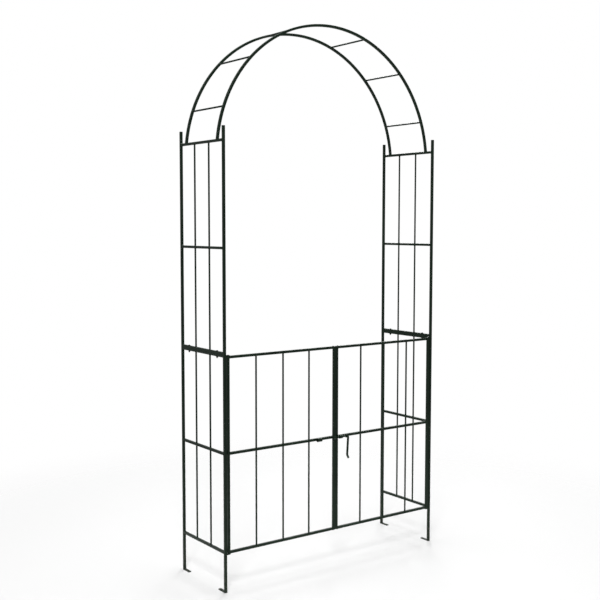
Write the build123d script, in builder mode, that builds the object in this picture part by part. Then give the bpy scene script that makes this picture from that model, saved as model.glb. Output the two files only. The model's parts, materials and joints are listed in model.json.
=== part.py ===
"""Free-standing garden arch with a double-leaf gate in its front plane.

Frame: X runs across the arch, Y from the gate (front, -Y) to the back, +Z up.  The origin lies on the
ground at the centre of the four stake holes.  All sizes are in millimetres.
"""
from build123d import *
import math
import os

os.makedirs("parts", exist_ok=True)

# ---- driving dimensions -------------------------------------------------------------------------------
POST_SPAN = 1060.0  # across the width, between post centres
POST_DEPTH = 318.0  # along the depth, between post centres
TUBE = 10.0  # side of the square tube used for posts, rails, stiles and arches
WALL = 0.8
CORNER = 1.0  # rounding of the tube's outer edges
BAR_D = 7.0  # round infill bars and arch rungs
SLIP = 0.1  # clearance round a piece that sits inside or passes through another
BAR_HOLE_D = BAR_D + 2 * SLIP

LEG_BOTTOM_RAIL = 155.0  # heights of the rail centres of the lower panels
LOWER_MID_RAIL = 538.0
PANEL_SPLIT = 916.0  # the upper panels stand on the lower ones at this height
UPPER_MID_RAIL = 1318.0
UPPER_TOP_RAIL = 1719.0
POST_TOP = 1770.0
ARCH_APEX = 2199.0  # height of the tube's centre at the top of the arch
ARCH_INSET = 43.0  # each arch stands this far in from the post centres, along the depth
RUNG_ANGLES = (20.0, 45.0, 70.0)  # rungs on each half, measured from the apex

GATE_BOTTOM_RAIL = 155.0
GATE_MID_RAIL = 538.0
GATE_TOP_RAIL = 907.0
PIVOT_OFFSET = 15.0  # from a post's centre to the gate's pivot
MEETING_OFFSET = 7.0  # from the middle of the arch to a meeting stile's centre
GATE_BARS = 3

FOOT_LENGTH = 50.0
FOOT_WIDTH = 12.0
FOOT_THICKNESS = 3.0
FOOT_CORNER = 2.0
STAKE_HOLE_D = 6.5
STAKE_REACH = 32.0  # from a post's centre to its stake hole

PIN_D = 6.0
TAB_THICKNESS = 2.5
TAB_WIDTH = 10.0
TAB_OVERHANG = 5.5  # beyond the pivot
TAB_GAP = 0.5  # between the top of a gate leaf and its upper tab
WASHER_D = 10.0
WASHER_THICKNESS = 1.0
PIN_STAND = 4.0  # length of a hinge pin outside its stile
PLUG_DEPTH = 14.0  # depth of a plug in a tube's end
SPIGOT_LENGTH = 60.0
ARCH_SPIGOT_LENGTH = 40.0
SLEEVE_LENGTH = 80.0
CAP_THICKNESS = 1.5

BOLT_D = 5.0
BOLT_HOLE_D = BOLT_D + 2 * SLIP
BOLT_HEAD_D = 9.0
BOLT_HEAD_HEIGHT = 3.0
BOLT_TAIL = 7.0  # length of a bolt below the lower rail
NUT_ACROSS_FLATS = 8.0
NUT_HEIGHT = 4.0
PANEL_BOLT_OFFSET = 106.0  # from the middle of a panel, along the depth
SCREW_D = 4.0
SCREW_HEAD_D = 7.0
SCREW_HEAD_HEIGHT = 2.2
SCREW_REACH = 6.0
SCREW_SETBACK = 20.0  # from an arch joint to its screws, along the tube

ROD_D = 9.0
SLEEVE_OUTER_D = 15.0
SLEEVE_BORE_D = 11.5
GROOVE_D = 8.0
SLEEVE_PAD = 1.0  # between a sleeve and the face that it is welded to
SLEEVE_PAD_WIDTH = 8.0
GUIDE_START = 11.0
GUIDE_LENGTH = 15.0
KEEPER_CENTRE = -16.0
KEEPER_LENGTH = 12.0
FAR_KEEPER_CENTRE = -91.0
FAR_KEEPER_LENGTH = 21.0
ROD_TIP = 2.5
COLLAR_START = 46.0
COLLAR_LENGTH = 3.0
COLLAR_OUTER_D = 15.0
HANDLE_X = 58.0
HANDLE_DROP = 92.0
HANDLE_LEAN = 5.0  # how far the handle's lower end stands nearer the latch than its upper end
HANDLE_TOE = 12.0  # height of the turned-out toe
HANDLE_TOE_REACH = 9.0  # how far the toe comes forward
HANDLE_BEND = 8.0
TOE_BEND = 6.0

# ---- derived dimensions -------------------------------------------------------------------------------
HALF_SPAN = POST_SPAN / 2
HALF_DEPTH = POST_DEPTH / 2
HALF_TUBE = TUBE / 2
INNER = TUBE - 2 * WALL
PLUG = INNER - 2 * SLIP
LOWER_TOP_RAIL = PANEL_SPLIT - HALF_TUBE
UPPER_BOTTOM_RAIL = PANEL_SPLIT + HALF_TUBE
ARCH_FOOT = UPPER_TOP_RAIL + HALF_TUBE
ARCH_RISE = ARCH_APEX - ARCH_FOOT
ARCH_RADIUS = (HALF_SPAN**2 + ARCH_RISE**2) / (2 * ARCH_RISE)
ARCH_CENTRE = ARCH_APEX - ARCH_RADIUS
ARCH_ANGLE = math.degrees(math.asin(HALF_SPAN / ARCH_RADIUS))
ARCH_Y = HALF_DEPTH - ARCH_INSET
BAR_SPACING = POST_DEPTH / 3
PIVOT_X = HALF_SPAN - PIVOT_OFFSET
GATE_Y = -HALF_DEPTH
GATE_LOW = GATE_BOTTOM_RAIL - HALF_TUBE
GATE_HIGH = GATE_TOP_RAIL + HALF_TUBE
LOWER_TAB_TOP = GATE_LOW - WASHER_THICKNESS
UPPER_TAB_TOP = GATE_HIGH + TAB_GAP + TAB_THICKNESS
ROD_Y = GATE_Y - HALF_TUBE - SLEEVE_PAD - SLEEVE_OUTER_D / 2

SIDES = {"left": -1, "right": 1}
ENDS = {"front": -1, "back": 1}


# ---- helpers ------------------------------------------------------------------------------------------
def save(piece, name):
    """Label a finished part and write it as one STEP file."""
    piece.part.label = name
    export_step(piece.part, f"parts/{name}.step")


def tube_section():
    """Hollow square section on the current sketch plane."""
    RectangleRounded(TUBE, TUBE, CORNER)
    Rectangle(INNER, INNER, mode=Mode.SUBTRACT)


def square_tube(plane, length, cross_holes=(), hole_d=0.0):
    """Straight square tube starting on a plane, drilled upright right through at each cross hole's centre."""
    with BuildPart() as tube:
        with BuildSketch(plane):
            tube_section()
        extrude(amount=length)
        for centre in cross_holes:
            with BuildSketch(Plane(origin=centre, z_dir=(0, 0, 1))):
                Circle(hole_d / 2)
            extrude(amount=TUBE, both=True, mode=Mode.SUBTRACT)
    return tube


def upright_plane(x, y, z):
    return Plane(origin=(x, y, z), x_dir=(1, 0, 0), z_dir=(0, 0, 1))


def depth_rail(x, z, holes=(), hole_d=0.0):
    """Rail of a side panel, running front to back between the posts."""
    start = Plane(origin=(x, -HALF_DEPTH + HALF_TUBE, z), x_dir=(1, 0, 0), z_dir=(0, 1, 0))
    centres = [(x, y, z) for y in holes]
    return square_tube(start, POST_DEPTH - TUBE, centres, hole_d)


def round_bars(places, low, high):
    """Upright round bars at a list of (x, y) places."""
    with BuildPart() as bars:
        for x, y in places:
            with BuildSketch(upright_plane(x, y, low)):
                Circle(BAR_D / 2)
            extrude(amount=high - low)
    return bars


def solid_plug_section():
    """Solid square that slides inside the tube."""
    Rectangle(PLUG, PLUG)


def arch_point(angle, y):
    """Point on an arch tube's centre line, at an angle from the apex that is positive towards +X."""
    turn = math.radians(angle)
    return (ARCH_RADIUS * math.sin(turn), y, ARCH_CENTRE + ARCH_RADIUS * math.cos(turn))


def arch_length_angle(length):
    """Angle that a length along the arch's centre line spans."""
    return math.degrees(length / ARCH_RADIUS)


def arch_section_plane(angle, y):
    """Plane across an arch tube, whose normal runs along the tube towards +X."""
    turn = math.radians(angle)
    tangent = (math.cos(turn), 0, -math.sin(turn))
    return Plane(origin=arch_point(angle, y), x_dir=(0, 1, 0), z_dir=tangent)


def arch_axis(y):
    return Axis((0, y, ARCH_CENTRE), (0, 1, 0))


def screw_plane(angle, direction):
    """Plane on an arch tube's inner side face, its normal into the tube; direction is -1 for the front."""
    face = direction * (ARCH_Y - HALF_TUBE)
    return Plane(origin=arch_point(angle, face), z_dir=(0, direction, 0))


def screw_angles():
    """Angles of the arch screws on the right half: beside the apex and above the foot."""
    setback = arch_length_angle(SCREW_SETBACK)
    return (setback, ARCH_ANGLE - setback)


def welded_sleeves(spans):
    """Short tubes along X for the latch rod, each on a pad that meets the gate's front face."""
    pad_depth = GATE_Y - HALF_TUBE - ROD_Y
    with BuildPart() as sleeves:
        for centre_x, length in spans:
            start = (centre_x - length / 2, ROD_Y, GATE_MID_RAIL)
            with BuildSketch(Plane(origin=start, x_dir=(0, 1, 0), z_dir=(1, 0, 0))):
                Circle(SLEEVE_OUTER_D / 2)
                with Locations((pad_depth / 2, 0)):
                    Rectangle(pad_depth, SLEEVE_PAD_WIDTH)
                Circle(SLEEVE_BORE_D / 2, mode=Mode.SUBTRACT)
            extrude(amount=length)
    return sleeves


# ---- side panels --------------------------------------------------------------------------------------
def lower_panel(side):
    """Legs, three rails and two bars of one lower side panel."""
    x = SIDES[side] * HALF_SPAN
    for end, direction in ENDS.items():
        leg_start = upright_plane(x, direction * HALF_DEPTH, FOOT_THICKNESS)
        save(square_tube(leg_start, PANEL_SPLIT - FOOT_THICKNESS), f"{side}_lower_{end}_post")
    bar_places = (-BAR_SPACING / 2, BAR_SPACING / 2)
    bolt_places = (-PANEL_BOLT_OFFSET, PANEL_BOLT_OFFSET)
    save(depth_rail(x, LEG_BOTTOM_RAIL), f"{side}_lower_bottom_rail")
    save(depth_rail(x, LOWER_MID_RAIL, bar_places, BAR_HOLE_D), f"{side}_lower_mid_rail")
    save(depth_rail(x, LOWER_TOP_RAIL, bolt_places, BOLT_HOLE_D), f"{side}_lower_top_rail")
    bars = round_bars([(x, y) for y in bar_places], LEG_BOTTOM_RAIL + HALF_TUBE, LOWER_TOP_RAIL - HALF_TUBE)
    save(bars, f"{side}_lower_bars")


def upper_panel(side):
    """Posts, three rails and two bars of one upper side panel."""
    x = SIDES[side] * HALF_SPAN
    for end, direction in ENDS.items():
        post_start = upright_plane(x, direction * HALF_DEPTH, PANEL_SPLIT)
        save(square_tube(post_start, POST_TOP - PANEL_SPLIT), f"{side}_upper_{end}_post")
    bar_places = (-BAR_SPACING / 2, BAR_SPACING / 2)
    bolt_places = (-PANEL_BOLT_OFFSET, PANEL_BOLT_OFFSET)
    save(depth_rail(x, UPPER_BOTTOM_RAIL, bolt_places, BOLT_HOLE_D), f"{side}_upper_bottom_rail")
    save(depth_rail(x, UPPER_MID_RAIL, bar_places, BAR_HOLE_D), f"{side}_upper_mid_rail")
    save(depth_rail(x, UPPER_TOP_RAIL), f"{side}_upper_top_rail")
    bars = round_bars([(x, y) for y in bar_places], UPPER_BOTTOM_RAIL + HALF_TUBE, UPPER_TOP_RAIL - HALF_TUBE)
    save(bars, f"{side}_upper_bars")


for side in SIDES:
    lower_panel(side)
    upper_panel(side)

post_places = [(sx * HALF_SPAN, sy * HALF_DEPTH) for sx in SIDES.values() for sy in ENDS.values()]

# Flat plates under the legs, reaching inward along the depth, each with a hole for a ground stake.
with BuildPart() as foot_plates:
    for x, y in post_places:
        inward = -math.copysign(1, y)
        plate_centre = y + inward * (FOOT_LENGTH / 2 - HALF_TUBE)
        with BuildSketch(Plane.XY):
            with Locations((x, plate_centre)):
                RectangleRounded(FOOT_WIDTH, FOOT_LENGTH, FOOT_CORNER)
            with Locations((x, y + inward * STAKE_REACH)):
                Circle(STAKE_HOLE_D / 2, mode=Mode.SUBTRACT)
        extrude(amount=FOOT_THICKNESS)
save(foot_plates, "foot_plates")

# Square bars inside the posts that carry the upper panels on the lower ones.
with BuildPart() as post_spigots:
    for x, y in post_places:
        with BuildSketch(upright_plane(x, y, PANEL_SPLIT - SPIGOT_LENGTH / 2)):
            solid_plug_section()
        extrude(amount=SPIGOT_LENGTH)
save(post_spigots, "post_spigots")

# Push-in caps that close the upper posts.
with BuildPart() as post_caps:
    for x, y in post_places:
        with BuildSketch(upright_plane(x, y, POST_TOP)):
            RectangleRounded(TUBE, TUBE, CORNER)
        extrude(amount=CAP_THICKNESS)
        with BuildSketch(upright_plane(x, y, POST_TOP - PLUG_DEPTH)):
            solid_plug_section()
        extrude(amount=PLUG_DEPTH)
    top_edges = post_caps.edges().group_by(Axis.Z)[-1]
    chamfer(top_edges, CAP_THICKNESS / 3)
save(post_caps, "post_caps")

# ---- panel bolts and nuts -----------------------------------------------------------------------------
bolt_places = [(sx * HALF_SPAN, sy * PANEL_BOLT_OFFSET) for sx in SIDES.values() for sy in ENDS.values()]
bolt_seat = UPPER_BOTTOM_RAIL + HALF_TUBE
nut_seat = LOWER_TOP_RAIL - HALF_TUBE

with BuildPart() as panel_bolts:
    for x, y in bolt_places:
        with BuildSketch(upright_plane(x, y, nut_seat - BOLT_TAIL)):
            Circle(BOLT_D / 2)
        extrude(amount=bolt_seat - nut_seat + BOLT_TAIL)
        with BuildSketch(upright_plane(x, y, bolt_seat)):
            Circle(BOLT_HEAD_D / 2)
        extrude(amount=BOLT_HEAD_HEIGHT)
    head_rims = panel_bolts.edges().group_by(Axis.Z)[-1]
    fillet(head_rims, BOLT_HEAD_HEIGHT / 2)
save(panel_bolts, "panel_bolts")

with BuildPart() as panel_nuts:
    for x, y in bolt_places:
        with BuildSketch(upright_plane(x, y, nut_seat - NUT_HEIGHT)):
            RegularPolygon(NUT_ACROSS_FLATS / 2, 6, major_radius=False)
            Circle(BOLT_HOLE_D / 2, mode=Mode.SUBTRACT)
        extrude(amount=NUT_HEIGHT)
save(panel_nuts, "panel_nuts")


# ---- arches -------------------------------------------------------------------------------------------
def arch_half(end, side):
    """Half of the front or back arch: a bent square tube from the apex down to the upper top rail."""
    y = ENDS[end] * ARCH_Y
    outer_angle = ARCH_ANGLE + arch_length_angle(TUBE)
    first_angle = min(0, SIDES[side] * outer_angle)
    with BuildPart() as half:
        with BuildSketch(arch_section_plane(first_angle, y)):
            tube_section()
        revolve(axis=arch_axis(y), revolution_arc=outer_angle)
        split(bisect_by=Plane.XY.offset(ARCH_FOOT), keep=Keep.TOP)
        for angle in screw_angles():
            with BuildSketch(screw_plane(SIDES[side] * angle, ENDS[end])):
                Circle(SCREW_D / 2 + SLIP)
            extrude(amount=SCREW_REACH + SLIP, mode=Mode.SUBTRACT)
    return half


for end in ENDS:
    for side in SIDES:
        save(arch_half(end, side), f"{end}_arch_{side}")

# Curved bars welded on the upper top rails, over which the arch tubes' feet are pushed.
with BuildPart() as arch_spigots:
    for end, direction in ENDS.items():
        for sign in SIDES.values():
            top = ARCH_ANGLE - arch_length_angle(ARCH_SPIGOT_LENGTH)
            bottom = ARCH_ANGLE + arch_length_angle(TUBE)
            first_angle = min(sign * top, sign * bottom)
            with BuildSketch(arch_section_plane(first_angle, direction * ARCH_Y)):
                solid_plug_section()
            revolve(axis=arch_axis(direction * ARCH_Y), revolution_arc=bottom - top)
    split(bisect_by=Plane.XY.offset(ARCH_FOOT), keep=Keep.TOP)
    for direction in ENDS.values():
        for sign in SIDES.values():
            with BuildSketch(screw_plane(sign * screw_angles()[1], direction)):
                Circle(SCREW_D / 2 + SLIP)
            extrude(amount=SCREW_REACH + SLIP, mode=Mode.SUBTRACT)
save(arch_spigots, "arch_spigots")

# Curved bars inside the tubes that join the two halves of each arch at its apex.
with BuildPart() as arch_sleeves:
    for direction in ENDS.values():
        reach = arch_length_angle(SLEEVE_LENGTH / 2)
        with BuildSketch(arch_section_plane(-reach, direction * ARCH_Y)):
            solid_plug_section()
        revolve(axis=arch_axis(direction * ARCH_Y), revolution_arc=2 * reach)
        for sign in SIDES.values():
            with BuildSketch(screw_plane(sign * screw_angles()[0], direction)):
                Circle(SCREW_D / 2 + SLIP)
            extrude(amount=SCREW_REACH + SLIP, mode=Mode.SUBTRACT)
save(arch_sleeves, "arch_sleeves")

# Pan-head screws through the arch tubes' inner side faces.
with BuildPart() as arch_screws:
    for direction in ENDS.values():
        for sign in SIDES.values():
            for angle in screw_angles():
                with BuildSketch(screw_plane(sign * angle, direction)):
                    Circle(SCREW_D / 2)
                extrude(amount=SCREW_REACH)
                with BuildSketch(screw_plane(sign * angle, direction)):
                    Circle(SCREW_HEAD_D / 2)
                extrude(amount=-SCREW_HEAD_HEIGHT)
save(arch_screws, "arch_screws")

# Round rungs between the front and back arches.
with BuildPart() as arch_rungs:
    for sign in SIDES.values():
        for angle in RUNG_ANGLES:
            start = arch_point(sign * angle, -ARCH_Y + HALF_TUBE)
            with BuildSketch(Plane(origin=start, z_dir=(0, 1, 0))):
                Circle(BAR_D / 2)
            extrude(amount=2 * (ARCH_Y - HALF_TUBE))
save(arch_rungs, "arch_rungs")

# ---- hinge tabs and washers ---------------------------------------------------------------------------
with BuildPart() as hinge_tabs:
    for sign in SIDES.values():
        tab_root = sign * (HALF_SPAN - HALF_TUBE)
        tab_tip = sign * (PIVOT_X - TAB_OVERHANG)
        for tab_top in (LOWER_TAB_TOP, UPPER_TAB_TOP):
            with BuildSketch(Plane.XY.offset(tab_top - TAB_THICKNESS)):
                with Locations(((tab_root + tab_tip) / 2, GATE_Y)):
                    Rectangle(abs(tab_root - tab_tip), TAB_WIDTH)
                with Locations((sign * PIVOT_X, GATE_Y)):
                    Circle(PIN_D / 2 + SLIP, mode=Mode.SUBTRACT)
            extrude(amount=TAB_THICKNESS)
    upright_edges = hinge_tabs.edges().filter_by(Axis.Z)
    tip_edges = upright_edges.filter_by(lambda edge: abs(edge.center().X) < PIVOT_X - TAB_OVERHANG + 1)
    fillet(tip_edges, TAB_WIDTH / 4)
save(hinge_tabs, "hinge_tabs")

with BuildPart() as hinge_washers:
    for sign in SIDES.values():
        with BuildSketch(upright_plane(sign * PIVOT_X, GATE_Y, LOWER_TAB_TOP)):
            Circle(WASHER_D / 2)
            Circle(PIN_D / 2 + SLIP, mode=Mode.SUBTRACT)
        extrude(amount=WASHER_THICKNESS)
save(hinge_washers, "hinge_washers")


# ---- gate leaves --------------------------------------------------------------------------------------
def gate_rail(sign, z, hole_xs=(), hole_d=0.0):
    """Rail of a gate leaf, from its meeting stile to its outer stile."""
    start = MEETING_OFFSET + HALF_TUBE
    plane = Plane(origin=(sign * start, GATE_Y, z), x_dir=(0, 1, 0), z_dir=(sign, 0, 0))
    centres = [(x, GATE_Y, z) for x in hole_xs]
    return square_tube(plane, PIVOT_X - HALF_TUBE - start, centres, hole_d)


def stile_plugs(x, pin_length=0.0):
    """Square plugs inside a stile's two ends, with round pins standing out of them where they are wanted."""
    with BuildPart() as plugs:
        for end_z, inward in ((GATE_LOW, 1), (GATE_HIGH, -1)):
            end = (x, GATE_Y, end_z)
            with BuildSketch(Plane(origin=end, x_dir=(1, 0, 0), z_dir=(0, 0, inward))):
                solid_plug_section()
            extrude(amount=PLUG_DEPTH)
            if pin_length:
                with BuildSketch(Plane(origin=end, x_dir=(1, 0, 0), z_dir=(0, 0, -inward))):
                    Circle(PIN_D / 2)
                extrude(amount=pin_length)
    return plugs


def gate_leaf(side):
    """Stiles, rails, bars, hinge pins and end plugs of one leaf."""
    sign = SIDES[side]
    pitch = (PIVOT_X - MEETING_OFFSET) / (GATE_BARS + 1)
    bar_xs = [sign * (MEETING_OFFSET + pitch * (i + 1)) for i in range(GATE_BARS)]
    for stile, x in (("outer", PIVOT_X), ("meeting", MEETING_OFFSET)):
        stile_start = upright_plane(sign * x, GATE_Y, GATE_LOW)
        save(square_tube(stile_start, GATE_HIGH - GATE_LOW), f"{side}_gate_{stile}_stile")
    save(gate_rail(sign, GATE_BOTTOM_RAIL), f"{side}_gate_bottom_rail")
    save(gate_rail(sign, GATE_MID_RAIL, bar_xs, BAR_HOLE_D), f"{side}_gate_mid_rail")
    save(gate_rail(sign, GATE_TOP_RAIL), f"{side}_gate_top_rail")
    bars = round_bars([(x, GATE_Y) for x in bar_xs], GATE_BOTTOM_RAIL + HALF_TUBE, GATE_TOP_RAIL - HALF_TUBE)
    save(bars, f"{side}_gate_bars")
    save(stile_plugs(sign * PIVOT_X, PIN_STAND), f"{side}_gate_hinge_pins")
    save(stile_plugs(sign * MEETING_OFFSET), f"{side}_gate_end_plugs")


for side in SIDES:
    gate_leaf(side)

# ---- latch --------------------------------------------------------------------------------------------
guide_spans = [(GUIDE_START + GUIDE_LENGTH / 2, GUIDE_LENGTH)]
keeper_spans = [(KEEPER_CENTRE, KEEPER_LENGTH), (FAR_KEEPER_CENTRE, FAR_KEEPER_LENGTH)]
save(welded_sleeves(guide_spans), "latch_guide")
save(welded_sleeves(keeper_spans), "latch_keepers")

# Rod with a groove for its stop collar, bent down into a handle whose toe turns out to the front.
rod_points = [
    (ROD_TIP, ROD_Y, GATE_MID_RAIL),
    (HANDLE_X, ROD_Y, GATE_MID_RAIL),
    (HANDLE_X - HANDLE_LEAN, ROD_Y, GATE_MID_RAIL - HANDLE_DROP + HANDLE_TOE),
    (HANDLE_X - HANDLE_LEAN, ROD_Y - HANDLE_TOE_REACH, GATE_MID_RAIL - HANDLE_DROP),
]
groove_start = Plane(origin=(COLLAR_START - SLIP, ROD_Y, GATE_MID_RAIL), z_dir=(1, 0, 0))
with BuildPart() as latch_bolt:
    with BuildLine():
        FilletPolyline(*rod_points, radius=[HANDLE_BEND, TOE_BEND])
    with BuildSketch(Plane(origin=rod_points[0], z_dir=(1, 0, 0))):
        Circle(ROD_D / 2)
    sweep()
    tip_edge = latch_bolt.edges().filter_by(GeomType.CIRCLE).sort_by(Axis.X)[0]
    chamfer(tip_edge, ROD_D / 8)
    with BuildSketch(groove_start):
        Circle(ROD_D)
        Circle(GROOVE_D / 2, mode=Mode.SUBTRACT)
    extrude(amount=COLLAR_LENGTH + 2 * SLIP, mode=Mode.SUBTRACT)
save(latch_bolt, "latch_bolt")

with BuildPart() as latch_collar:
    with BuildSketch(Plane(origin=(COLLAR_START, ROD_Y, GATE_MID_RAIL), z_dir=(1, 0, 0))):
        Circle(COLLAR_OUTER_D / 2)
        Circle(GROOVE_D / 2 + SLIP, mode=Mode.SUBTRACT)
    extrude(amount=COLLAR_LENGTH)
save(latch_collar, "latch_collar")
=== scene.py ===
"""Looks of the garden arch: materials, weld beads, fastener details, floor, light and camera."""

import json
import math
import random

import bmesh
import bpy
from mathutils import Matrix, Vector


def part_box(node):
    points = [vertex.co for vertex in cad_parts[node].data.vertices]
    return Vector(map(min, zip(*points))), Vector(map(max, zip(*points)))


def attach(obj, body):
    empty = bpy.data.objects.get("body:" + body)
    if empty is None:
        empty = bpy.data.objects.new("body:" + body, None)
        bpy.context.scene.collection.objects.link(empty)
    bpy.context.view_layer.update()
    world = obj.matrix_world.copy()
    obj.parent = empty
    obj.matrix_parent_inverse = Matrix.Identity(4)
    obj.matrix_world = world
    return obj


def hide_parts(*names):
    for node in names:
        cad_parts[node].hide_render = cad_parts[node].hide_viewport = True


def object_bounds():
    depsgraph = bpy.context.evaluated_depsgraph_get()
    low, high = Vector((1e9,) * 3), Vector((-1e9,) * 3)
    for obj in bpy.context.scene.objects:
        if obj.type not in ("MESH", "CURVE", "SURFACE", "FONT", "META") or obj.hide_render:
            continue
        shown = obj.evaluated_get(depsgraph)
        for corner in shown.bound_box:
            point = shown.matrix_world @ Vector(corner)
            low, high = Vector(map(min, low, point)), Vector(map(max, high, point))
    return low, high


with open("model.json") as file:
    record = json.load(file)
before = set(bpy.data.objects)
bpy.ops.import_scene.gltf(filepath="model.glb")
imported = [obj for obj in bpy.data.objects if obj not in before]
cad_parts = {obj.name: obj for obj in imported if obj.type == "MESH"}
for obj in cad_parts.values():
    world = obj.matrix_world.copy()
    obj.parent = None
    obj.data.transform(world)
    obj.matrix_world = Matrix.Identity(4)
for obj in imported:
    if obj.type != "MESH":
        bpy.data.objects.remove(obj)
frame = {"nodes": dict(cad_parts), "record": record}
CAD_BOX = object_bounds()
NODES = frame["nodes"]

MM = 0.001
TUBE = 10 * MM
TUBE_CORNER = 1 * MM
BAR_D = 7 * MM
BOX_CLEARANCE = 0.02 * MM  # added pieces stay this far inside the CAD model's box
SIDES = ("left", "right")
ENDS = {"front": -1, "back": 1}  # direction of each end along Y


# ---- node material helpers ----------------------------------------------------------------------------
EDGE_SAMPLES = 6


class Mat:
    """A Principled material with short calls for its procedural inputs."""

    def __init__(self, name):
        self.mat = bpy.data.materials.new(name)
        self.mat.use_nodes = True
        self.tree = self.mat.node_tree
        self.bsdf = self.tree.nodes["Principled BSDF"]
        self.coord = self.tree.nodes.new("ShaderNodeTexCoord").outputs["Object"]

    def node(self, kind, **inputs):
        """Add a node and set its inputs; an underscore in a name stands for a space."""
        n = self.tree.nodes.new(kind)
        for key, value in inputs.items():
            n.inputs[key.replace("_", " ")].default_value = value
        return n

    def link(self, a, b):
        """Join an output to an input."""
        self.tree.links.new(a, b)

    def noise(self, scale, detail=3.0, rough=0.55, stretch=None):
        """Noise on the object's own coordinates; scale is in features per metre."""
        source = self.coord
        if stretch:
            mapping = self.node("ShaderNodeMapping")
            mapping.inputs["Scale"].default_value = stretch
            self.link(source, mapping.inputs["Vector"])
            source = mapping.outputs["Vector"]
        n = self.node("ShaderNodeTexNoise", Scale=scale, Detail=detail, Roughness=rough)
        self.link(source, n.inputs["Vector"])
        return n.outputs["Fac"]

    def voronoi(self, scale):
        """Distance to the nearest of a set of scattered points; scale is in points per metre."""
        n = self.node("ShaderNodeTexVoronoi", Scale=scale)
        self.link(self.coord, n.inputs["Vector"])
        return n.outputs["Distance"]

    def ramp(self, value, low, high, out_low=0.0, out_high=1.0):
        """Smooth step from out_low, where the value is low, to out_high, where it is high."""
        n = self.node("ShaderNodeMapRange", From_Min=low, From_Max=high, To_Min=out_low, To_Max=out_high)
        n.interpolation_type = "SMOOTHSTEP"
        self.link(value, n.inputs["Value"])
        return n.outputs["Result"]

    def math(self, op, a, b):
        """Result of an operation on two values, each a number or an output."""
        n = self.node("ShaderNodeMath")
        n.operation = op
        for socket, value in zip(n.inputs, (a, b)):
            if isinstance(value, (int, float)):
                socket.default_value = value
            else:
                self.link(value, socket)
        return n.outputs[0]

    def mix(self, fac, a, b):
        """Colour that goes from a to b as fac goes from 0 to 1."""
        n = self.tree.nodes.new("ShaderNodeMix")
        n.data_type = "RGBA"
        self.link(fac, n.inputs[0])
        for socket, value in ((n.inputs[6], a), (n.inputs[7], b)):
            if isinstance(value, tuple):
                socket.default_value = (*value, 1.0)
            else:
                self.link(value, socket)
        return n.outputs[2]

    def edges(self, radius, low, high):
        """About 1 within the radius of a sharp edge, and 0 on flat faces."""
        bevel = self.node("ShaderNodeBevel", Radius=radius)
        bevel.samples = EDGE_SAMPLES
        geometry = self.tree.nodes.new("ShaderNodeNewGeometry")
        dot = self.node("ShaderNodeVectorMath")
        dot.operation = "DOT_PRODUCT"
        self.link(bevel.outputs["Normal"], dot.inputs[0])
        self.link(geometry.outputs["Normal"], dot.inputs[1])
        return self.ramp(self.math("SUBTRACT", 1.0, dot.outputs["Value"]), low, high)

    def height(self):
        """Height above the ground, in metres."""
        n = self.node("ShaderNodeSeparateXYZ")
        geometry = self.tree.nodes.new("ShaderNodeNewGeometry")
        self.link(geometry.outputs["Position"], n.inputs["Vector"])
        return n.outputs["Z"]

    def bump(self, *layers):
        """Bump from layers of (height value, strength, distance), each added to the one before."""
        last = None
        for value, strength, distance in layers:
            n = self.node("ShaderNodeBump", Strength=strength, Distance=distance)
            self.link(value, n.inputs["Height"])
            if last:
                self.link(last, n.inputs["Normal"])
            last = n.outputs["Normal"]
        self.link(last, self.bsdf.inputs["Normal"])

    def set(self, **values):
        """Set or link the shader's inputs; an underscore in a name stands for a space."""
        for key, value in values.items():
            socket = self.bsdf.inputs[key.replace("_", " ")]
            if isinstance(value, bpy.types.NodeSocket):
                self.link(value, socket)
            elif isinstance(value, tuple):
                socket.default_value = (*value, 1.0)
            else:
                socket.default_value = value


CHIP_COLOUR = (0.11, 0.105, 0.10)
DUST_COLOUR = (0.13, 0.115, 0.09)
DUST_HEIGHT = 0.16  # dust thins out up to this height above the ground
COAT_SPECULAR = 0.24
COAT_SPECULAR_TINT = (0.66, 0.95, 0.72, 1.0)
ZINC_BLOOM_COLOUR = (0.55, 0.55, 0.54)
ZINC_EDGE_COLOUR = (0.62, 0.63, 0.64)
OXIDE_COLOUR = (0.016, 0.016, 0.017)
OXIDE_BLOOM_COLOUR = (0.032, 0.029, 0.026)
OXIDE_EDGE_COLOUR = (0.17, 0.165, 0.16)


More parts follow.
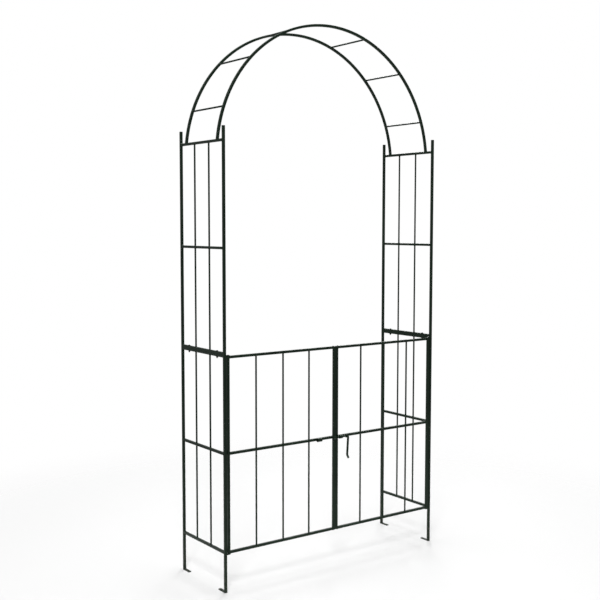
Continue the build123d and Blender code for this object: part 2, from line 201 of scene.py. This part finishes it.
def powder_coat(name, base, dark, worn, bead=False):
    """Semi-gloss powder coat: slow colour drift, orange peel, patchy gloss, rubbed edges and low dust."""
    m = Mat(name)
    drift = m.ramp(m.noise(7.0, 4.0), 0.35, 0.65)
    colour = m.mix(drift, dark, base)
    mottle = m.ramp(m.noise(160.0, 2.0), 0.55, 0.75, 0.0, 0.45)
    colour = m.mix(mottle, colour, tuple(1.35 * c for c in base))
    edge = m.edges(0.9 * MM, 0.02, 0.22)
    patches = m.ramp(m.noise(55.0, 4.0), 0.48, 0.66)
    rubbed = m.math("MULTIPLY", m.math("MULTIPLY", edge, patches), 0.75)
    colour = m.mix(rubbed, colour, worn)
    chips = m.ramp(m.noise(420.0, 1.0), 0.72, 0.76)
    chipped = m.math("MULTIPLY", m.math("MULTIPLY", chips, edge), 0.8)
    colour = m.mix(chipped, colour, CHIP_COLOUR)
    low = m.ramp(m.height(), 0.0, DUST_HEIGHT, 1.0, 0.0)
    specks = m.ramp(m.noise(90.0, 6.0, 0.7), 0.45, 0.70)
    dust = m.math("MULTIPLY", m.math("MULTIPLY", low, specks), 0.5)
    colour = m.mix(dust, colour, DUST_COLOUR)
    gloss = m.ramp(m.noise(38.0, 5.0), 0.30, 0.70, 0.30, 0.44)
    rough = m.math("ADD", gloss, m.math("MULTIPLY", rubbed, 0.16))
    rough = m.math("ADD", rough, m.math("MULTIPLY", dust, 0.5))
    m.set(Base_Color=colour, Roughness=rough, Metallic=0.0)
    m.bsdf.inputs["Specular IOR Level"].default_value = COAT_SPECULAR
    m.bsdf.inputs["Specular Tint"].default_value = COAT_SPECULAR_TINT
    peel = m.noise(620.0, 2.0)
    grit = m.noise(2600.0, 1.0)
    layers = [(peel, 0.30, 0.12 * MM), (grit, 0.18, 0.03 * MM)]
    if bead:
        layers.append((m.noise(1400.0, 2.0), 0.35, 0.12 * MM))
    m.bump(*layers)
    return m.mat


def zinc(name, base, tint):
    """Zinc plate: dull blue-grey metal with drawn-bar lines, spangle and white bloom."""
    m = Mat(name)
    spangle = m.ramp(m.voronoi(900.0), 0.1, 0.8)
    colour = m.mix(spangle, base, tint)
    bloom = m.ramp(m.noise(140.0, 5.0, 0.7), 0.55, 0.75, 0.0, 0.5)
    colour = m.mix(bloom, colour, ZINC_BLOOM_COLOUR)
    edge = m.edges(0.6 * MM, 0.03, 0.25)
    colour = m.mix(m.math("MULTIPLY", edge, 0.4), colour, ZINC_EDGE_COLOUR)
    scratches = m.noise(60.0, 2.0, 0.5, stretch=(6.0, 40.0, 40.0))
    rough = m.ramp(scratches, 0.3, 0.7, 0.30, 0.46)
    m.set(Base_Color=colour, Roughness=m.math("ADD", rough, m.math("MULTIPLY", bloom, 0.3)), Metallic=0.9)
    m.bump((scratches, 0.2, 0.05 * MM), (m.noise(1800.0, 2.0), 0.2, 0.03 * MM))
    return m.mat


def fastener(name):
    """Black oxide steel: near-black with brown bloom, bright rubbed edges and fine pitting."""
    m = Mat(name)
    bloom = m.ramp(m.noise(220.0, 4.0), 0.4, 0.65)
    colour = m.mix(bloom, OXIDE_COLOUR, OXIDE_BLOOM_COLOUR)
    edge = m.math("MULTIPLY", m.edges(0.4 * MM, 0.02, 0.25), m.ramp(m.noise(500.0, 2.0), 0.4, 0.6))
    colour = m.mix(m.math("MULTIPLY", edge, 0.8), colour, OXIDE_EDGE_COLOUR)
    rough = m.ramp(m.noise(700.0, 3.0), 0.3, 0.7, 0.32, 0.52)
    m.set(Base_Color=colour, Roughness=rough, Metallic=0.75)
    m.bump((m.noise(3000.0, 2.0), 0.25, 0.03 * MM))
    return m.mat


def plastic(name, base, light):
    """Moulded plastic: fine spark-eroded grain, faint flow marks and polished corners."""
    m = Mat(name)
    flow = m.ramp(m.noise(120.0, 3.0, 0.5, stretch=(1.0, 1.0, 4.0)), 0.35, 0.7)
    colour = m.mix(flow, base, light)
    edge = m.edges(0.5 * MM, 0.03, 0.3)
    colour = m.mix(m.math("MULTIPLY", edge, 0.35), colour, tuple(2.2 * c for c in light))
    rough = m.ramp(m.noise(900.0, 2.0), 0.3, 0.7, 0.48, 0.66)
    rough = m.math("SUBTRACT", rough, m.math("MULTIPLY", edge, 0.12))
    m.set(Base_Color=colour, Roughness=rough, Metallic=0.0)
    m.bump((m.noise(4200.0, 2.0), 0.35, 0.04 * MM))
    return m.mat


COAT_BASE = (0.0045, 0.0105, 0.0058)
COAT_DARK = (0.0022, 0.0055, 0.0030)
COAT_WORN = (0.020, 0.031, 0.023)
MATERIALS = {
    "powder_coat": powder_coat("powder_coat", COAT_BASE, COAT_DARK, COAT_WORN),
    "weld_coat": powder_coat("powder_coat_on_welds", COAT_BASE, COAT_DARK, COAT_WORN, bead=True),
    "zinc_steel": zinc("zinc_steel", (0.36, 0.37, 0.385), (0.44, 0.45, 0.46)),
    "black_fasteners": fastener("black_oxide"),
    "black_plastic": plastic("black_plastic", (0.012, 0.012, 0.012), (0.020, 0.020, 0.021)),
    "nylon": plastic("black_nylon", (0.030, 0.030, 0.031), (0.045, 0.045, 0.046)),
}
for part in frame["record"]["subparts"]:
    mesh = NODES[part["node"]].data
    mesh.materials.clear()
    mesh.materials.append(MATERIALS[part["material_slot"]])


# ---- places from the frame ----------------------------------------------------------------------------
def corners(node):
    """Lowest and highest corner of a CAD node."""
    low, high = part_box(node)
    return Vector(low), Vector(high)


def middle(node):
    """Centre of a CAD node's box."""
    low, high = corners(node)
    return (low + high) / 2


def bar_places(node):
    """X and Y of each upright bar in a CAD node, in the order of the node's vertices."""
    points = [v.co for v in NODES[node].data.vertices]
    reach = 1.2 * BAR_D  # takes in a bar's own vertices and no other bar's
    places = []
    for point in points:
        if any(abs(point.x - x) < BAR_D and abs(point.y - y) < BAR_D for x, y in places):
            continue
        near = [p for p in points if abs(p.x - point.x) < reach and abs(p.y - point.y) < reach]
        xs, ys = [p.x for p in near], [p.y for p in near]
        places.append(((min(xs) + max(xs)) / 2, (min(ys) + max(ys)) / 2))
    return places


GRID_PER_METRE = 1e5  # vertices in the same cell of this grid count as one


def loose_parts(node):
    """Low and high corners of each separate solid in a CAD node, in a fixed order."""
    mesh = NODES[node].data
    keys = [tuple(round(c * GRID_PER_METRE) for c in v.co) for v in mesh.vertices]
    parent = {key: key for key in keys}

    def root(key):
        while parent[key] != key:
            parent[key] = parent[parent[key]]
            key = parent[key]
        return key

    for edge in mesh.edges:
        a, b = (root(keys[i]) for i in edge.vertices)
        parent[a] = b
    groups = {}
    for key, v in zip(keys, mesh.vertices):
        groups.setdefault(root(key), []).append(v.co)
    boxes = []
    for points in groups.values():
        low = Vector([min(p[i] for p in points) for i in range(3)])
        high = Vector([max(p[i] for p in points) for i in range(3)])
        boxes.append((low, high))
    return sorted(boxes, key=lambda box: tuple(round(c, 5) for c in (*box[0], *box[1])))


# ---- mesh helpers -------------------------------------------------------------------------------------
SMOOTH_ANGLE = math.radians(35)  # edges that turn by more than this stay sharp
MERGE_DISTANCE = 1e-7


def add_piece(name, bm, material, body):
    """Finish a bmesh as a piece that rides on a body, kept just inside the CAD model's box."""
    low, high = CAD_BOX
    for v in bm.verts:
        v.co = Vector([min(max(c, a + BOX_CLEARANCE), b - BOX_CLEARANCE) for c, a, b in zip(v.co, low, high)])
    bmesh.ops.remove_doubles(bm, verts=bm.verts, dist=MERGE_DISTANCE)
    bmesh.ops.recalc_face_normals(bm, faces=bm.faces)
    mesh = bpy.data.meshes.new(name)
    bm.to_mesh(mesh)
    bm.free()
    obj = bpy.data.objects.new(name, mesh)
    bpy.context.collection.objects.link(obj)
    mesh.materials.append(MATERIALS[material])
    mesh.shade_smooth()
    sharp = mesh.attributes.new("sharp_edge", "BOOLEAN", "EDGE")
    finished = bmesh.new()
    finished.from_mesh(mesh)
    flags = [len(e.link_faces) == 2 and e.calc_face_angle(0.0) > SMOOTH_ANGLE for e in finished.edges]
    finished.free()
    sharp.data.foreach_set("value", flags)
    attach(obj, body)
    return obj


def ring_band(bm, rings, closed=True):
    """Skin a list of equally long point rings; closed joins the last ring to the first."""
    rows = [[bm.verts.new(p) for p in ring] for ring in rings]
    count = len(rows[0])
    last = len(rows) if closed else len(rows) - 1
    for i in range(last):
        a, b = rows[i], rows[(i + 1) % len(rows)]
        for j in range(count):
            k = (j + 1) % count
            bm.faces.new((a[j], a[k], b[k], b[j]))
    if not closed:
        bm.faces.new(rows[0])
        bm.faces.new(list(reversed(rows[-1])))


STEP = 0.45 * MM  # between sections along a bead
TUBE_BEAD = 1.9 * MM
FOOT_BEAD = 0.7 * TUBE_BEAD
BAR_BEAD = 1.15 * MM
TAB_BEAD = 1.4 * MM
SLEEVE_BEAD = 0.9 * MM
BEAD_WANDER = 0.06  # mm, how far a section strays along the piece
PUDDLE_PITCH = (0.9, 1.5)  # mm, between the overlapping puddles of a bead
PUDDLE_SIZE = (0.90, 1.10)
PUDDLE_EDGE = 0.93  # size at a puddle's edge, in units of its nominal size
PUDDLE_CROWN = 0.10  # further size at its middle
FLUSH_FROM = 0.25  # cosine to a flush axis at which a bead starts to flatten
FLUSH_BLEND = 0.6  # further cosine over which it becomes flat

# Sections of a bead as (up the piece, out from its face) in units of the bead's size: a hollow fillet in a
# corner, and a low cap over a seam between two level faces.  The last points lie inside the metal.
FILLET = ((1.0, -0.12), (0.72, 0.20), (0.46, 0.44), (0.22, 0.72),
          (0.05, 1.0), (-0.2, 0.9), (-0.2, -0.2), (0.8, -0.3))
FLUSH = ((0.75, -0.06), (0.42, 0.17), (0.05, 0.24), (-0.40, 0.23),
         (-0.78, 0.13), (-1.0, -0.06), (-0.6, -0.25), (0.5, -0.25))


def weld_section(point, along, out, size, flush):
    """Points of a bead's section, from a fillet at flush 0 to a low cap at flush 1.

    Along runs from the seam up the piece that is welded on, and out points away from its surface.
    """
    ring = []
    for (fu, fv), (gu, gv) in zip(FILLET, FLUSH):
        u = (fu + (gu - fu) * flush) * size
        v = (fv + (gv - fv) * flush) * size
        ring.append(point + along * u + out * v)
    return ring


def scallop(rng, length):
    """Size factor along a bead: overlapping puddles of uneven pitch and size."""
    marks, s = [], 0.0
    while s < length:
        pitch = rng.uniform(*PUDDLE_PITCH) * MM
        marks.append((s, pitch, rng.uniform(*PUDDLE_SIZE)))
        s += pitch

    def factor(s):
        for start, pitch, size in reversed(marks):
            if s >= start:
                t = min(1.0, (s - start) / pitch)
                return size * (PUDDLE_EDGE + PUDDLE_CROWN * math.sin(math.pi * t))
        return 1.0

    return factor


CORNER_STEPS = 4
MIN_ROUND_STATIONS = 20


def square_loop(side, corner, step):
    """Stations round a rounded square centred on the origin: (x, y, normal x, normal y, distance)."""
    straight = side - 2 * corner
    stations = []
    distance = 0.0
    for quarter in range(4):
        turn = quarter * math.pi / 2
        c, s = math.cos(turn), math.sin(turn)
        count = max(2, round(straight / step))
        for i in range(count):
            x, y = side / 2, -straight / 2 + straight * i / count
            stations.append((c * x - s * y, s * x + c * y, c, s, distance + straight * i / count))
        distance += straight
        for i in range(CORNER_STEPS):
            angle = math.pi / 2 * i / CORNER_STEPS
            x = straight / 2 + corner * math.cos(angle)
            y = straight / 2 + corner * math.sin(angle)
            nx, ny = math.cos(angle), math.sin(angle)
            stations.append((c * x - s * y, s * x + c * y, c * nx - s * ny, s * nx + c * ny,
                             distance + corner * angle))
        distance += corner * math.pi / 2
    return stations, distance


def round_loop(diameter, step):
    """Stations round a circle centred on the origin, like those of square_loop."""
    count = max(MIN_ROUND_STATIONS, round(math.pi * diameter / step))
    stations = []
    for i in range(count):
        angle = 2 * math.pi * i / count
        c, s = math.cos(angle), math.sin(angle)
        stations.append((diameter / 2 * c, diameter / 2 * s, c, s, diameter / 2 * angle))
    return stations, math.pi * diameter


def weld_loop(bm, rng, centre, along, side_axis, stations, total, size, flush_axes=()):
    """Bead round a piece that stands on a face.

    Along points from the face up the piece.  A side of the piece that looks along a flush axis is level
    with the metal under it, so the bead is a low cap there.
    """
    centre, along, side_axis = Vector(centre), Vector(along).normalized(), Vector(side_axis).normalized()
    other = along.cross(side_axis)
    factor = scallop(rng, total)
    rings = []
    for x, y, nx, ny, distance in stations:
        out = (side_axis * nx + other * ny).normalized()
        point = centre + side_axis * x + other * y
        flush = 0.0
        for axis in flush_axes:
            flush = max(flush, min(1.0, (out.dot(Vector(axis)) - FLUSH_FROM) / FLUSH_BLEND))
        s = size * factor(distance)
        wander = rng.uniform(-BEAD_WANDER, BEAD_WANDER) * MM
        rings.append(weld_section(point + along * wander, along, out, s, flush))
    ring_band(bm, rings)


SQUARE = square_loop(TUBE, TUBE_CORNER, STEP)
BAR = round_loop(BAR_D, STEP)


# ---- weld beads ---------------------------------------------------------------------------------------
def rail_ends(bm, rng, rail, axis, flush_axes):
    """Beads at both ends of a rail that runs along an axis, 0 for X and 1 for Y."""
    low, high = corners(rail)
    centre = (low + high) / 2
    for end, sign in ((low, 1), (high, -1)):
        point = centre.copy()
        point[axis] = end[axis]
        along = Vector((0, 0, 0))
        along[axis] = sign
        weld_loop(bm, rng, point, along, (0, 0, 1), *SQUARE, TUBE_BEAD, flush_axes)


def bar_beads(bm, rng, bars, mid_rail):
    """Beads round each bar at the bottom, at the top and above and below the middle rail."""
    low, high = corners(bars)
    mid_low, mid_high = corners(mid_rail)
    for x, y in bar_places(bars):
        for z, direction in ((low.z, 1), (high.z, -1), (mid_low.z, -1), (mid_high.z, 1)):
            weld_loop(bm, rng, (x, y, z), (0, 0, direction), (1, 0, 0), *BAR, BAR_BEAD)


def side_panel_welds(side):
    """Beads of a lower and an upper side panel, and round the legs' feet."""
    rng = random.Random(f"{side}_panel")
    for level in ("lower", "upper"):
        bm = bmesh.new()
        for rail in ("bottom", "mid", "top"):
            rail_ends(bm, rng, f"{side}_{level}_{rail}_rail", 1, ((1, 0, 0), (-1, 0, 0)))
        bar_beads(bm, rng, f"{side}_{level}_bars", f"{side}_{level}_mid_rail")
        if level == "lower":
            for end, outward in ENDS.items():
                post = middle(f"{side}_lower_{end}_post")
                base = corners(f"{side}_lower_{end}_post")[0].z
                weld_loop(bm, rng, (post.x, post.y, base), (0, 0, 1), (1, 0, 0), *SQUARE, FOOT_BEAD,
                          ((1, 0, 0), (-1, 0, 0), (0, outward, 0)))
        add_piece(f"{side}_{level}_welds", bm, "weld_coat", "frame")


def gate_welds(side):
    """Beads of one gate leaf."""
    rng = random.Random(f"{side}_gate")
    bm = bmesh.new()
    for rail in ("bottom", "mid", "top"):
        rail_ends(bm, rng, f"{side}_gate_{rail}_rail", 0, ((0, 1, 0), (0, -1, 0)))
    bar_beads(bm, rng, f"{side}_gate_bars", f"{side}_gate_mid_rail")
    add_piece(f"{side}_gate_welds", bm, "weld_coat", f"{side}_gate")


for side in SIDES:
    side_panel_welds(side)
    gate_welds(side)


MIN_LINE_STEPS = 8
END_LENGTH = 0.9  # length of a straight bead's rounded end, in units of its size
END_TAPER = 0.15  # size of its very end


def weld_line(bm, rng, start, end, along, out, size):
    """Straight bead from start to end, with rounded ends."""
    start, end, along, out = (Vector(v) for v in (start, end, along, out))
    length = (end - start).length
    count = max(MIN_LINE_STEPS, round(length / STEP))
    factor = scallop(rng, length)
    rings = []
    for i in range(count + 1):
        t = i / count
        s = t * length
        rounding = min(1.0, min(s, length - s) / (END_LENGTH * size))
        taper = max(END_TAPER, math.sqrt(1 - (1 - rounding) ** 2))
        rings.append(weld_section(start.lerp(end, t), along, out, size * factor(s) * taper, 0.0))
    ring_band(bm, rings, closed=False)


TAB_WELD_REACH = 4 * MM  # either side of the middle of a hinge tab
SLEEVE_PAD_WIDTH = 8 * MM
SLEEVE_WELD_INSET = 1 * MM  # from a sleeve's ends


def small_welds():
    """Beads on the rungs, the hinge tabs and the latch sleeves."""
    rng = random.Random("small_welds")
    bm = bmesh.new()
    for low, high in loose_parts("arch_rungs"):
        centre = (low + high) / 2
        for y, sign in ((low.y, 1), (high.y, -1)):
            weld_loop(bm, rng, (centre.x, y, centre.z), (0, sign, 0), (1, 0, 0), *BAR, BAR_BEAD)
    add_piece("arch_rung_welds", bm, "weld_coat", "frame")
    bm = bmesh.new()
    for low, high in loose_parts("hinge_tabs"):
        sign = 1 if low.x > 0 else -1
        root = high.x if sign > 0 else low.x
        y = (low.y + high.y) / 2
        for z, up in ((low.z, -1), (high.z, 1)):
            start, end = (root, y - TAB_WELD_REACH, z), (root, y + TAB_WELD_REACH, z)
            weld_line(bm, rng, start, end, (-sign, 0, 0), (0, 0, up), TAB_BEAD)
    add_piece("hinge_tab_welds", bm, "weld_coat", "frame")
    for node, body in (("latch_guide", "right_gate"), ("latch_keepers", "left_gate")):
        bm = bmesh.new()
        face = corners(f"{body}_mid_rail")[0].y
        for low, high in loose_parts(node):
            z = (low.z + high.z) / 2
            for up in (1, -1):
                edge = z + up * SLEEVE_PAD_WIDTH / 2
                start, end = (low.x + SLEEVE_WELD_INSET, face, edge), (high.x - SLEEVE_WELD_INSET, face, edge)
                weld_line(bm, rng, start, end, (0, -1, 0), (0, 0, up), SLEEVE_BEAD)
        add_piece(f"{node}_welds", bm, "weld_coat", body)


# ---- fasteners ----------------------------------------------------------------------------------------
def circle_ring(radius, height, count):
    """Level ring of points round the Z axis."""
    return [(radius * math.cos(2 * math.pi * i / count), radius * math.sin(2 * math.pi * i / count), height)
            for i in range(count)]


def shaped_ring(radius_at, height, count):
    """Ring whose radius is a function of the angle; its height is a number or a function too."""
    ring = []
    for i in range(count):
        angle = 2 * math.pi * i / count
        r = radius_at(angle)
        z = height(angle) if callable(height) else height
        ring.append((r * math.cos(angle), r * math.sin(angle), z))
    return ring


def hexagon(across_flats):
    """Outline of a hexagon as a radius for each angle."""
    def radius_at(angle):
        return across_flats / 2 / math.cos((angle + math.pi / 6) % (math.pi / 3) - math.pi / 6)
    return radius_at


def cross(reach, width):
    """Outline of a cross recess as a radius for each angle."""
    def radius_at(angle):
        a = abs((angle + math.pi / 4) % (math.pi / 2) - math.pi / 4)
        return min(reach, width / 2 / max(math.sin(a), 1e-4))
    return radius_at


def lathe(bm, rings, matrix):
    """Skin the rings in order and close both ends."""
    ring_band(bm, [[matrix @ Vector(p) for p in ring] for ring in rings], closed=False)


THREAD_DEPTH = 0.6  # in pitches
THREAD_FADE = 0.7  # in pitches, at either end of a thread
THREAD_STEPS = 8  # rings in one pitch
THREAD_EASE = 0.02 * MM  # a crest lies this far inside the bolt's diameter
LEAD_IN = 0.4 * MM  # chamfer at the threaded end


def thread_rings(low, high, diameter, pitch, count):
    """Rings of a screw thread from a low to a high height, chamfered at its low end."""
    rings = []
    steps = max(2, round((high - low) / pitch * THREAD_STEPS))
    for i in range(steps + 1):
        z = low + (high - low) * i / steps
        fade = max(0.0, min(1.0, (z - low) / (THREAD_FADE * pitch), (high - z) / (THREAD_FADE * pitch)))
        ring = []
        for j in range(count):
            angle = 2 * math.pi * j / count
            phase = (z / pitch - j / count) % 1.0
            cut = THREAD_DEPTH * pitch * abs(2 * phase - 1) * fade
            r = diameter / 2 - THREAD_EASE - cut
            if z - low < LEAD_IN:
                r -= LEAD_IN - (z - low)
            ring.append((r * math.cos(angle), r * math.sin(angle), z))
        rings.append(ring)
    return rings


DOME_RINGS = 8
CROWN_CORNER = 0.05 * MM  # between a head's dome and its flat top

BOLT_SIDES = 48
BOLT_D = 5 * MM
BOLT_PITCH = 0.8 * MM
BOLT_THREAD = 11 * MM
BOLT_RUNOUT = 0.5 * MM  # between the thread and the plain shank
BOLT_RIM = 0.8 * MM  # height of the head's rim
BOLT_RIM_CHAMFER = 0.25 * MM
BOLT_SEAT_INSET = 0.35 * MM
BOLT_CROWN_R = 2.1 * MM  # flat top of the head
BOLT_CROWN_FULLNESS = 0.8  # below 1 makes the dome fuller than an ellipse
SOCKET_MOUTH_R = 1.85 * MM
SOCKET_FLATS = 3.0 * MM
SOCKET_LEAD = 0.22 * MM
SOCKET_DEPTH = 1.6 * MM
SOCKET_TIP_DEPTH = 2.0 * MM
SOCKET_TIP_R = 0.5 * MM


def panel_bolt(bm, low, high, seat):
    """Button-head bolt with a hexagon socket, threaded at its lower end."""
    centre = (low + high) / 2
    head_r = (high.x - low.x) / 2
    top = high.z
    rim = seat + BOLT_RIM
    thread_end = low.z + BOLT_THREAD

    def ring(radius, height):
        rings.append(circle_ring(radius, height, BOLT_SIDES))

    rings = thread_rings(low.z, thread_end, BOLT_D, BOLT_PITCH, BOLT_SIDES)
    ring(BOLT_D / 2, thread_end + BOLT_RUNOUT)
    ring(BOLT_D / 2, seat)
    ring(head_r - BOLT_SEAT_INSET, seat)
    ring(head_r, seat + BOLT_RIM_CHAMFER)
    ring(head_r, rim)
    for i in range(1, DOME_RINGS):
        t = math.pi / 2 * i / DOME_RINGS
        dome_r = BOLT_CROWN_R + (head_r - BOLT_CROWN_R) * math.cos(t) ** BOLT_CROWN_FULLNESS
        ring(dome_r, rim + (top - rim) * math.sin(t))
    ring(BOLT_CROWN_R - CROWN_CORNER, top)
    ring(SOCKET_MOUTH_R, top)
    rings.append(shaped_ring(hexagon(SOCKET_FLATS), top - SOCKET_LEAD, BOLT_SIDES))
    rings.append(shaped_ring(hexagon(SOCKET_FLATS), top - SOCKET_DEPTH, BOLT_SIDES))
    ring(SOCKET_TIP_R, top - SOCKET_TIP_DEPTH)
    lathe(bm, rings, Matrix.Translation((centre.x, centre.y, 0)))


NUT_SIDES = 72
NUT_BORE_R = 2.6 * MM
NUT_SINK_R = 2.95 * MM
NUT_SINK_DEPTH = 0.45 * MM
NUT_FACE = 0.95  # the round faces' diameter, in units of the width across flats
NUT_CHAMFER = math.radians(30)


def panel_nut(bm, low, high):
    """Hexagon nut, chamfered at both faces, with a countersunk bore."""
    width_x, width_y = high.x - low.x, high.y - low.y
    across = min(width_x, width_y)
    turn = math.pi / 6 if width_y <= width_x else math.pi / 3
    centre = (low + high) / 2
    base = Matrix.Translation((centre.x, centre.y, 0)) @ Matrix.Rotation(turn, 4, "Z")
    outline = hexagon(across)
    face_r = across / 2 * NUT_FACE

    def chamfer(angle):
        return (outline(angle) - face_r) * math.tan(NUT_CHAMFER)

    rings = [
        circle_ring(NUT_BORE_R, low.z + NUT_SINK_DEPTH, NUT_SIDES),
        circle_ring(NUT_SINK_R, low.z, NUT_SIDES),
        circle_ring(face_r, low.z, NUT_SIDES),
        shaped_ring(outline, lambda angle: low.z + chamfer(angle), NUT_SIDES),
        shaped_ring(outline, lambda angle: high.z - chamfer(angle), NUT_SIDES),
        circle_ring(face_r, high.z, NUT_SIDES),
        circle_ring(NUT_SINK_R, high.z, NUT_SIDES),
        circle_ring(NUT_BORE_R, high.z - NUT_SINK_DEPTH, NUT_SIDES),
    ]
    ring_band(bm, [[base @ Vector(p) for p in ring] for ring in rings])


SCREW_SIDES = 96
SCREW_HEAD_HEIGHT = 2.2 * MM
SCREW_HEAD_R = 3.5 * MM
SCREW_SHANK_R = 1.95 * MM
SCREW_POINT_R = 1.2 * MM
SCREW_POINT_TOP_R = 1.9 * MM
SCREW_POINT_LENGTH = 0.8 * MM
SCREW_RIM = 0.9 * MM  # height of the head's rim
SCREW_RIM_CHAMFER = 0.25 * MM
SCREW_CROWN_R = 2.0 * MM
RECESS_MOUTH = (1.75 * MM, 0.9 * MM)  # reach and width of the cross at the top of the recess
RECESS_FLOOR = (1.15 * MM, 0.7 * MM)
RECESS_LEAD = 0.02 * MM
RECESS_DEPTH = 1.3 * MM
RECESS_TIP_DEPTH = 1.6 * MM
RECESS_TIP_R = 0.15 * MM


def arch_screw(bm, low, high):
    """Pan-head screw with a cross recess; its head stands on the arch tube's inner side face."""
    centre = (low + high) / 2
    sign = 1 if centre.y < 0 else -1
    head_end, point = (high.y, low.y) if sign > 0 else (low.y, high.y)
    length = abs(head_end - point)
    base = Matrix.Translation((centre.x, head_end, centre.z)) @ Matrix.Rotation(-math.pi / 2 * sign, 4, "X")
    seat = -SCREW_HEAD_HEIGHT
    rim = seat + SCREW_RIM
    rings = []

    def ring(radius, height):
        rings.append(circle_ring(radius, height, SCREW_SIDES))

    ring(SCREW_POINT_R, -length)
    ring(SCREW_POINT_TOP_R, -length + SCREW_POINT_LENGTH)
    ring(SCREW_SHANK_R, seat)
    ring(SCREW_HEAD_R - SCREW_RIM_CHAMFER, seat)
    ring(SCREW_HEAD_R, seat + SCREW_RIM_CHAMFER)
    ring(SCREW_HEAD_R, rim)
    for i in range(1, DOME_RINGS):
        t = math.pi / 2 * i / DOME_RINGS
        ring(SCREW_CROWN_R + (SCREW_HEAD_R - SCREW_CROWN_R) * math.cos(t), rim * (1 - math.sin(t)))
    ring(SCREW_CROWN_R - CROWN_CORNER, 0)
    rings.append(shaped_ring(cross(*RECESS_MOUTH), -RECESS_LEAD, SCREW_SIDES))
    rings.append(shaped_ring(cross(*RECESS_FLOOR), -RECESS_DEPTH, SCREW_SIDES))
    ring(RECESS_TIP_R, -RECESS_TIP_DEPTH)
    lathe(bm, rings, base)


def detailed(node, make):
    """Piece that stands for a CAD node of fasteners, with make called for each one's box."""
    bm = bmesh.new()
    for low, high in loose_parts(node):
        make(bm, low, high)
    piece = add_piece(f"{node}_detailed", bm, "black_fasteners", "frame")
    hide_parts(node)


bolt_seat = corners("left_upper_bottom_rail")[1].z
small_welds()
detailed("panel_bolts", lambda bm, low, high: panel_bolt(bm, low, high, bolt_seat))
detailed("panel_nuts", panel_nut)
detailed("arch_screws", arch_screw)


# ---- floor, light and camera --------------------------------------------------------------------------
FLOOR_HALF_SIZE = 3
FLOOR_DROP = 0.2 * MM  # below the feet, so that no faces coincide
FLOOR_COLOUR = (0.61, 0.61, 0.61)  # comes out just under white in this light
FLOOR_FADE = (1.0, 2.4)  # distance from the middle where the floor starts and ends fading out
LIT_BY_WORLD = 0.42
SEEN_WORLD = 1.0

# The camera stands in front on the left, turned towards +X and tipped down a little.
CAMERA_PLACE = (-2.45912, -3.289302, 1.403189)
CAMERA_YAW, CAMERA_PITCH, CAMERA_ROLL = (math.radians(a) for a in (36.072, -4.355, 0.044))
SENSOR_MM = 36.0
LENS_MM = 58.92516


def make_floor():
    """Pale floor that fades out into the white world."""
    bm = bmesh.new()
    bmesh.ops.create_grid(bm, x_segments=8, y_segments=8, size=FLOOR_HALF_SIZE)
    mesh = bpy.data.meshes.new("floor")
    bm.to_mesh(mesh)
    bm.free()
    floor = bpy.data.objects.new("floor", mesh)
    floor.location.z = -FLOOR_DROP
    bpy.context.collection.objects.link(floor)
    m = Mat("floor")
    m.set(Base_Color=FLOOR_COLOUR, Roughness=0.9)
    m.bsdf.inputs["Specular IOR Level"].default_value = 0.1
    distance = m.tree.nodes.new("ShaderNodeVectorMath")
    distance.operation = "LENGTH"
    m.link(m.coord, distance.inputs[0])
    m.link(m.ramp(distance.outputs["Value"], *FLOOR_FADE, 1.0, 0.0), m.bsdf.inputs["Alpha"])
    mesh.materials.append(m.mat)


def area_light(name, place, target, size, power):
    """Round lamp at a place, turned to a target; its size is in metres and its power in watts."""
    light = bpy.data.lights.new(name, "AREA")
    light.shape = "DISK"
    light.size = size
    light.energy = power
    obj = bpy.data.objects.new(name, light)
    obj.location = place
    obj.rotation_euler = (Vector(target) - Vector(place)).to_track_quat("-Z", "Y").to_euler()
    bpy.context.collection.objects.link(obj)


def make_camera():
    """Camera at the photograph's viewing angle."""
    flat = math.cos(CAMERA_PITCH)
    forward = Vector((math.sin(CAMERA_YAW) * flat, math.cos(CAMERA_YAW) * flat, math.sin(CAMERA_PITCH)))
    right = forward.cross(Vector((0, 0, 1))).normalized()
    up = right.cross(forward)
    turned_right = right * math.cos(CAMERA_ROLL) + up * math.sin(CAMERA_ROLL)
    turned_up = up * math.cos(CAMERA_ROLL) - right * math.sin(CAMERA_ROLL)
    data = bpy.data.cameras.new("camera")
    data.sensor_width = SENSOR_MM
    data.lens = LENS_MM
    camera = bpy.data.objects.new("camera", data)
    matrix = Matrix((turned_right, turned_up, -forward)).transposed().to_4x4()
    matrix.translation = CAMERA_PLACE
    camera.matrix_world = matrix
    bpy.context.collection.objects.link(camera)
    bpy.context.scene.camera = camera


def make_world():
    """White world, dimmer as a light than it looks to the camera."""
    world = bpy.data.worlds.new("studio")
    world.use_nodes = True
    tree = world.node_tree
    background = tree.nodes["Background"]
    background.inputs["Color"].default_value = (1.0, 1.0, 1.0, 1.0)
    seen = tree.nodes.new("ShaderNodeLightPath").outputs["Is Camera Ray"]
    strength = tree.nodes.new("ShaderNodeMapRange")
    strength.inputs["To Min"].default_value = LIT_BY_WORLD
    strength.inputs["To Max"].default_value = SEEN_WORLD
    tree.links.new(seen, strength.inputs["Value"])
    tree.links.new(strength.outputs["Result"], background.inputs["Strength"])
    bpy.context.scene.world = world


make_floor()
area_light("key", place=(-3.0, -3.4, 4.6), target=(0, 0, 0.9), size=1.6, power=230)
area_light("overhead", place=(0.4, 0.3, 4.8), target=(0, 0, 0), size=3.0, power=190)
area_light("rim", place=(2.6, 2.4, 3.2), target=(0, 0, 1.0), size=1.2, power=60)
make_camera()
make_world()
bpy.context.scene.view_settings.view_transform = "Standard"
